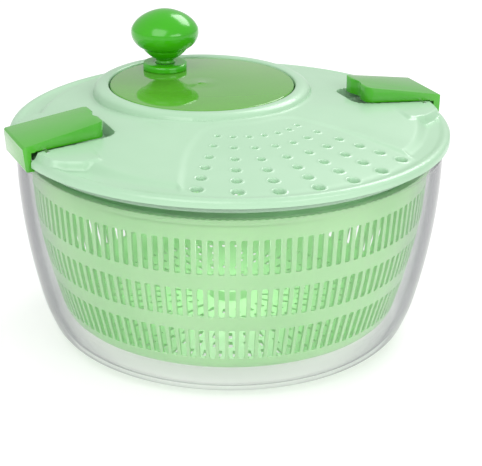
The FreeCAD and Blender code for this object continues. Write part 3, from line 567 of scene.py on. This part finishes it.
# short ribs inside the rim that carry the drive
for k in range(12):
    a = math.radians(30.0 * k)
    ca, sa = math.cos(a), math.sin(a)
    s = len(verts)
    sect = [(104.6, -0.8), (105.1, -1.2), (109.0, -1.2), (109.0, 1.2), (105.1, 1.2), (104.6, 0.8)]
    for z in (J - 17.4, J - 11.6):
        verts.extend((x * ca - y * sa, x * sa + y * ca, z) for x, y in sect)
    faces.append(tuple(reversed(range(s, s + 6))))
    faces.append(tuple(range(s + 6, s + 12)))
    for q in range(6):
        p = (q + 1) % 6
        faces.append((s + q, s + p, s + 6 + p, s + 6 + q))
basket = piece("basket_moulding", verts, faces, "basket", "mint_plastic", MINT_BASKET, ["basket"], sharp=32)


# ---- lid ----------------------------------------------------------------
def smooth(t):
    t = np.clip(t, 0.0, 1.0)
    return t * t * (3 - 2 * t)


def corner_min(a, b, r):
    """Smaller of two distances, the corner between them rounded to radius r."""
    u, v = np.maximum(r - a, 0), np.maximum(r - b, 0)
    return np.minimum(np.maximum(a, r), np.maximum(b, r)) - np.hypot(u, v)


def fan_distance(x, y):
    r = np.hypot(x, y)
    turn = np.abs(np.mod(np.arctan2(y, x) + np.pi / 2 + np.pi, 2 * np.pi) - np.pi)
    half = np.radians(np.interp(r, [25, 39, 63, 90, 108], [49, 48, 45, 40, 37.5]))
    side = np.where(turn < np.pi * 0.75, r * np.sin(half - turn), -r)
    return corner_min(side, r - 27.0, 15.0)


def pad_distance(x, y):
    half = np.interp(np.abs(x), [100.0, 107.0, 114.0, 119.0, 124.0], [44.0, 40.0, 34.4, 31.0, 28.0])
    return np.where(np.abs(x) > 90, (half - np.abs(y)) * 0.8, -20.0)


def trough_distance(x, y):
    ax = np.abs(x)
    half = np.interp(ax, [70.0, 76.0, 82.0, 90.0, 117.5, 130.0], [13.6, 15.0, 16.2, 16.9, 18.9, 19.1])
    return corner_min(half - np.abs(y), ax - 71.0, 6.0)


HOLES = []
for rad, bend, hr in ((111.1, 0.026, 3.1), (99.0, 0.037, 2.6), (86.5, 0.04, 2.3), (73.5, 0.042, 1.95), (59.5, 0.05, 1.5), (45.3, 0.031, 1.2)):
    for k in range(-3, 4):
        a = math.radians(-90.0 + 10.73 * k)
        q = rad * (1.0 - bend * (k / 3.0) ** 2)
        HOLES.append((q * math.cos(a), q * math.sin(a), hr))
HOLES = np.array(HOLES)


def lid_top(x, y):
    r = np.hypot(x, y)
    fan = smooth((fan_distance(x, y) + 1.0) / 5.5)
    turn = np.degrees(np.abs(np.mod(np.arctan2(y, x) + np.pi / 2 + np.pi, 2 * np.pi) - np.pi))
    taper = smooth((80.0 - turn) / 36.0)
    fall = 0.06 + 0.029 * taper
    z = 15.9 - fall * r
    z = z + fan * (fall - 0.099) * r
    edge = 103.0 + 8.0 * fan
    run = 6.6 - 2.0 * fan
    moat = 4.5 + 0 * r
    moat = np.where(r > 115.6, 4.5 + 0.8 * smooth((r - 115.6) / 3.0), moat)
    moat = moat - 0.9 * smooth((r - 119.6) / 2.3) - 0.9 * np.clip((r - 121.3) / 0.7, 0, 1)
    low = z + (moat - z) * smooth((r - edge) / run)
    low = np.where(r > 115.0, moat, low)
    pad = smooth(pad_distance(x, y) / 2.4 + 0.2) * (1 - smooth((r - 118.0) / 2.0))
    high = 15.9 - 0.06 * r
    z = low + (np.maximum(high, low) - low) * pad
    z = z + (4.5 - z) * smooth(trough_distance(x, y) / 1.1)
    rc = np.hypot(x - WELL_X, y - WELL_Y)
    col = np.interp(rc, [53.8, 54.3, 55.4, 57.4, 59.4, 60.6, 61.5, 62.0, 62.3, 62.9], [16.1, 16.65, 16.9, 16.85, 16.4, 15.85, 15.2, 14.4, 13.2, 6.0])
    col = np.where(rc < 62.9, col, -50.0)
    z = np.maximum(z, col)
    z = z + 0.35 * np.exp(-((rc - 63.2) / 0.7) ** 2) * (rc > 62.6) * (r < 105)
    d = np.min(np.hypot(x[:, None] - HOLES[None, :, 0], y[:, None] - HOLES[None, :, 1]) - HOLES[None, :, 2], axis=1)
    z = z + 0.22 * np.exp(-((d - 0.75) / 0.45) ** 2) - 0.4 * (1 - smooth(d / 0.4))
    return z


def lid_under(x, y, top):
    r = np.hypot(x, y)
    rc = np.hypot(x - WELL_X, y - WELL_Y)
    z = top - 2.2
    z = np.where(r > 105.0, np.minimum(z, 2.3 + (15.9 - 0.06 * 105 - 2.2 - 2.3) * (1 - smooth((r - 105.0) / 2.6))), z)
    z = np.where(r > 113.0, 2.3 + 0.3 * smooth((r - 113.0) / 2.6), z)
    z = np.where(trough_distance(x, y) > -2.0, np.minimum(z, 2.3), z)
    z = np.where(r > 121.25, 0.75, z)
    z = np.where(rc < 56.0, 6.0, z)
    z = np.where((rc >= 56.0) & (rc < 62.9), np.minimum(z, 14.5), z)
    return np.minimum(z, top - 0.5)


# boundary loops: rim with a notch at each latch, well, pouring holes
def rim_loop():
    half = 18.8
    a0 = math.asin(half / 122.0)
    pts = []
    for sx, lo, hi in ((1, a0, math.pi - a0), (-1, math.pi + a0, 2 * math.pi - a0)):
        arc = [(122.0 * math.cos(t), 122.0 * math.sin(t)) for t in np.linspace(lo, hi, 260)]
        pts += arc
        ys = np.linspace(half, -half, 26) if sx == 1 else np.linspace(-half, half, 26)
        xx = -117.5 if sx == 1 else 117.5
        side = np.linspace(arc[-1][0], xx, 5)[1:-1]
        pts += [(x, arc[-1][1]) for x in side]
        pts += [(xx, y) for y in ys]
        pts += [(x, -arc[-1][1]) for x in side[::-1]]
    return pts


loops = [rim_loop(),
         [(WELL_X + 53.8 * math.cos(t), WELL_Y + 53.8 * math.sin(t)) for t in np.linspace(0, 2 * math.pi, 240, endpoint=False)]]
for hx, hy, hr in HOLES:
    loops.append([(hx + hr * math.cos(t), hy + hr * math.sin(t)) for t in np.linspace(0, 2 * math.pi, 28, endpoint=False)])
points, edges = [], []
for loop in loops:
    s = len(points)
    points += loop
    edges += [(s + k, s + (k + 1) % len(loop)) for k in range(len(loop))]
n_fixed = len(points)


def inside(p):
    x, y = p[:, 0], p[:, 1]
    ok = np.hypot(x, y) < 121.95
    ok &= ~((np.abs(x) > 117.3) & (np.abs(y) < 19.0))
    ok &= np.hypot(x - WELL_X, y - WELL_Y) > 53.95
    d = np.min(np.hypot(x[:, None] - HOLES[None, :, 0], y[:, None] - HOLES[None, :, 1]) - HOLES[None, :, 2], axis=1)
    return ok & (d > 0.1)


def circle_points(cx, cy, r, gap, turn=0.0):
    n = max(12, int(2 * math.pi * r / gap))
    t = np.linspace(0, 2 * math.pi, n, endpoint=False) + turn
    return np.stack([cx + r * np.cos(t), cy + r * np.sin(t)], 1)


free = []
for r in (121.75, 121.5, 121.3, 121.2, 120.6, 119.8, 118.9, 118.0, 117.2, 116.4, 115.6, 114.2):
    free.append(circle_points(0, 0, r, 1.6))
for r in (102.6, 103.4, 104.2, 105.0, 105.8, 106.6, 107.4, 108.2, 109.0, 109.8, 110.6):
    free.append(circle_points(0, 0, r, 1.6))
for rc in (54.1, 54.5, 55.0, 55.6, 56.4, 57.4, 58.4, 59.4, 60.2, 60.9, 61.5, 61.9, 62.2, 62.45, 62.7, 62.95, 63.3, 63.8, 64.4):
    free.append(circle_points(WELL_X, WELL_Y, rc, 1.4))
for hx, hy, hr in HOLES:
    for d in (0.18, 0.4, 0.65, 0.95, 1.3, 1.8):
        free.append(circle_points(hx, hy, hr + d, 0.75))


def hexgrid(step):
    xs = np.arange(-122, 122, step)
    ys = np.arange(-122, 122, step * 0.866)
    gx, gy = np.meshgrid(xs, ys)
    gx = gx + (np.arange(len(ys)) % 2)[:, None] * step / 2
    return np.stack([gx.ravel(), gy.ravel()], 1)


fine = hexgrid(0.55)
fx, fy = fine[:, 0], fine[:, 1]
near = (np.abs(fan_distance(fx, fy) - 1.7) < 3.0) & (np.hypot(fx, fy) < 112) & (np.round(fx / 1.1) % 2 == 0)
near |= (np.abs(pad_distance(fx, fy) - 0.6) < 1.8) & (np.hypot(fx, fy) > 103)
near |= (np.abs(trough_distance(fx, fy) - 0.55) < 1.0)
near &= np.hypot(fx - WELL_X, fy - WELL_Y) > 64.5
free.append(fine[near])
coarse = hexgrid(1.5)
cx_, cy_ = coarse[:, 0], coarse[:, 1]
far = (np.abs(trough_distance(cx_, cy_) - 0.55) > 1.6)
far &= np.hypot(cx_ - WELL_X, cy_ - WELL_Y) > 65.0
free.append(coarse[far])
cloud = np.concatenate(free)
cloud = cloud[inside(cloud)]
# earlier points win where two nearly coincide
cell = np.round(cloud / 0.32).astype(np.int64)
_, keep = np.unique(cell[:, 0] * 100003 + cell[:, 1], return_index=True)
cloud = cloud[np.sort(keep)]
points = [Vector(p) for p in points] + [Vector(p) for p in cloud]
v2, e2, f2, *_rest = geometry.delaunay_2d_cdt(points, edges, [], 0, 1e-5)
xy = np.array([(p.x, p.y) for p in v2])
tri = np.array([f for f in f2 if len(f) == 3])
mid = xy[tri].mean(axis=1)
ok = (np.hypot(mid[:, 0], mid[:, 1]) < 122) & ~((np.abs(mid[:, 0]) > 117.5) & (np.abs(mid[:, 1]) < 18.8))
ok &= np.hypot(mid[:, 0] - WELL_X, mid[:, 1] - WELL_Y) > 53.79
ok &= np.min(np.hypot(mid[:, 0][:, None] - HOLES[None, :, 0], mid[:, 1][:, None] - HOLES[None, :, 1]) - HOLES[None, :, 2], axis=1) > -0.03
tri = tri[ok]
used = np.unique(tri)
remap = -np.ones(len(xy), int)
remap[used] = np.arange(len(used))
xy, tri = xy[used], remap[tri]
a, b, c = xy[tri[:, 0]], xy[tri[:, 1]], xy[tri[:, 2]]
wind = (b[:, 0] - a[:, 0]) * (c[:, 1] - a[:, 1]) - (b[:, 1] - a[:, 1]) * (c[:, 0] - a[:, 0])
tri = tri[np.abs(wind) > 1e-9]
wind = wind[np.abs(wind) > 1e-9]
tri[wind < 0] = tri[wind < 0][:, ::-1]
zt = lid_top(xy[:, 0], xy[:, 1])
zb = lid_under(xy[:, 0], xy[:, 1], zt)
n = len(xy)
verts = [(p[0], p[1], z + J) for p, z in zip(xy, zt)] + [(p[0], p[1], z + J) for p, z in zip(xy, zb)]
faces = [tuple(t) for t in tri.tolist()] + [(t[2] + n, t[1] + n, t[0] + n) for t in tri.tolist()]
count = {}
for t in tri.tolist():
    for k in range(3):
        count[(t[k], t[(k + 1) % 3])] = count.get((t[k], t[(k + 1) % 3]), 0) + 1
for (p, q) in list(count):
    if (q, p) not in count:
        faces.append((q, p, p + n, q + n))
lid = piece("lid_moulding", verts, faces, "lid", "mint_plastic", MINT_LID, ["lid_shell"], sharp=46)
skirt = soften([(113.4, J + 2.9), (113.4, J - 4.0), (115.3, J - 4.0), (115.6, J + 2.9)], 0.5)
piece("lid_skirt", *lathe(skirt, 240), body="lid", slot="mint_plastic", material=MINT_LID)


# ---- crank disc and knob ------------------------------------------------
disc = expand([
    (5.1, J + 8.0), (9.0, J + 8.0), (9.4, J + 14.1), (52.6, J + 14.1), (52.9, J + 14.4),
    (52.9, J + 15.5, 52.65, J + 16.05), (52.1, J + 16.3), (12.0, J + 16.3), (2.8, J + 16.3, 1.6, J + 16.5),
    (0.6, J + 16.63), (0, J + 16.63), (0, J + 12.6), (5.1, J + 12.6),
], 6)
piece("crank_disc_moulding", *lathe(soften(disc, 0.3), 240, WELL_X, WELL_Y), body="crank", slot="tinted_plastic",
      material=DISC_GREEN, replaces=["crank_disc"])

cap = spline([(19.9, 38.0), (19.85, 39.2), (19.6, 40.7), (18.7, 42.5), (17.3, 44.4), (15.2, 46.4), (12.6, 48.2), (9.6, 49.7), (6.3, 50.9), (3.1, 51.6), (0.6, 51.8)], 5)
cap = [(17.6, 38.0)] + cap + [(0, 51.8), (0, 49.6), (1.0, 49.6), (8.2, 48.2), (14.0, 44.7), (16.9, 41.6)]
piece("knob_cap_moulding", *lathe([(r, z + J) for r, z in cap], 120, KNOB_X, KNOB_Y), body="knob", slot="green_plastic",
      material=KNOB_GREEN, replaces=["knob_cap"])
skin = spline([(6.0, 20.5), (5.5, 21.3), (5.5, 22.2), (6.4, 22.9), (8.2, 23.9), (10.4, 25.6), (12.2, 27.4)], 5)
skin += spline([(12.75, 28.1), (13.2, 28.95), (14.3, 29.5), (16.9, 31.4), (18.6, 33.7), (19.55, 36.0), (19.9, 38.0)], 5)
under = skin + [(17.6, 38.0), (16.1, 34.2), (12.6, 31.2), (9.0, 27.6), (6.0, 26.6), (6.0, 43.4), (3.07, 43.4), (3.07, 20.5)]
piece("knob_body_moulding", *lathe([(r, z + J) for r, z in under], 120, KNOB_X, KNOB_Y), body="knob", slot="green_plastic",
      material=KNOB_GREEN, replaces=["knob_body"])


# ---- pieces taken from their CAD shape, with rounded edges --------------
def rounded_copy(node, name, body, material, width, segments=3):
    me = nodes[node].data.copy()
    me.name = name
    me.materials.clear()
    me.materials.append(material)
    ob = bpy.data.objects.new(name, me)
    bpy.context.scene.collection.objects.link(ob)
    import bmesh
    bm = bmesh.new()
    bm.from_mesh(me)
    bmesh.ops.remove_doubles(bm, verts=bm.verts, dist=1e-6)
    bmesh.ops.dissolve_limit(bm, angle_limit=math.radians(1.0), verts=bm.verts, edges=bm.edges)
    sharp = [e for e in bm.edges if len(e.link_faces) == 2 and e.calc_face_angle(0.0) > math.radians(32)]
    bmesh.ops.bevel(bm, geom=sharp, offset=width * MM, offset_type="OFFSET", segments=segments, profile=0.5,
                    affect="EDGES", clamp_overlap=True)
    bmesh.ops.triangulate(bm, faces=bm.faces)
    bmesh.ops.recalc_face_normals(bm, faces=bm.faces)
    bm.to_mesh(me)
    bm.free()
    for p in me.polygons:
        p.use_smooth = True
    me.set_sharp_from_angle(angle=math.radians(30))
    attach(ob, body)
    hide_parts(node)
    return ob


rounded_copy("latch_right", "latch_right_moulding", "latch_right", LATCH_GREEN, 1.3, 4)
rounded_copy("latch_left", "latch_left_moulding", "latch_left", LATCH_GREEN, 1.3, 4)
rounded_copy("knob_base", "knob_base_moulding", "crank", KNOB_GREEN, 0.5)

# ---- floor, light and camera --------------------------------------------
floor = bpy.data.meshes.new("floor")
floor.from_pydata([(-4, -3, 0), (4, -3, 0), (4, 6, 0), (-4, 6, 0)], [], [(0, 1, 2, 3)])
floor_ob = bpy.data.objects.new("floor", floor)
floor_mat = moulded("studio_floor", (0.55, 0.55, 0.55, 1), (0.58, 0.58, 0.58, 1), (0.6, 0.7), patch=2.0)
floor_mat.node_tree.nodes["Principled BSDF"].inputs["Emission Color"].default_value = (1, 1, 1, 1)
floor_mat.node_tree.nodes["Principled BSDF"].inputs["Emission Strength"].default_value = 0.5
floor.materials.append(floor_mat)
bpy.context.scene.collection.objects.link(floor_ob)

scene = bpy.context.scene
scene.view_settings.view_transform = "Standard"
world = bpy.data.worlds.new("studio")
scene.world = world
world.use_nodes = True
bg = world.node_tree.nodes["Background"]
bg.inputs["Color"].default_value = (1.0, 1.0, 1.0, 1.0)
bg.inputs["Strength"].default_value = 0.62


def softbox(name, where, size, power, aim=(0, 0, 0.1)):
    l = bpy.data.lights.new(name, "AREA")
    l.shape = "RECTANGLE"
    l.size, l.size_y = size
    l.energy = power
    o = bpy.data.objects.new(name, l)
    scene.collection.objects.link(o)
    o.location = where
    o.rotation_euler = (Vector(aim) - Vector(where)).to_track_quat("-Z", "Y").to_euler()
    return o


softbox("key", (-0.85, -0.75, 1.25), (1.2, 1.2), 12)
softbox("rim", (0.9, 0.55, 1.1), (0.8, 0.6), 8)
softbox("front", (0.45, -1.3, 0.75), (0.9, 0.6), 6)
# a weak lamp inside the basket stands for light that comes through its thin walls
glow = bpy.data.lights.new("inside", "POINT")
glow.shadow_soft_size = 0.04
glow.energy = 0.2
glow_ob = bpy.data.objects.new("inside", glow)
scene.collection.objects.link(glow_ob)
glow_ob.location = (0, 0, 0.07)

cam = bpy.data.cameras.new("camera")
cam.sensor_width = 36.0
cam.lens = 117.2153
cam.clip_start = 0.01
cam_ob = bpy.data.objects.new("camera", cam)
scene.collection.objects.link(cam_ob)
turn = Matrix(((0.9150418, 0.1455222, -0.3761938), (-0.4032558, 0.3511385, -0.8450364), (0.0091245, 0.9249459, 0.3799891)))
cam_ob.matrix_world = Matrix.Translation(Vector((-332.2493, -762.8679, 280.0371 + J)) * MM) @ turn.to_4x4()
scene.camera = cam_ob
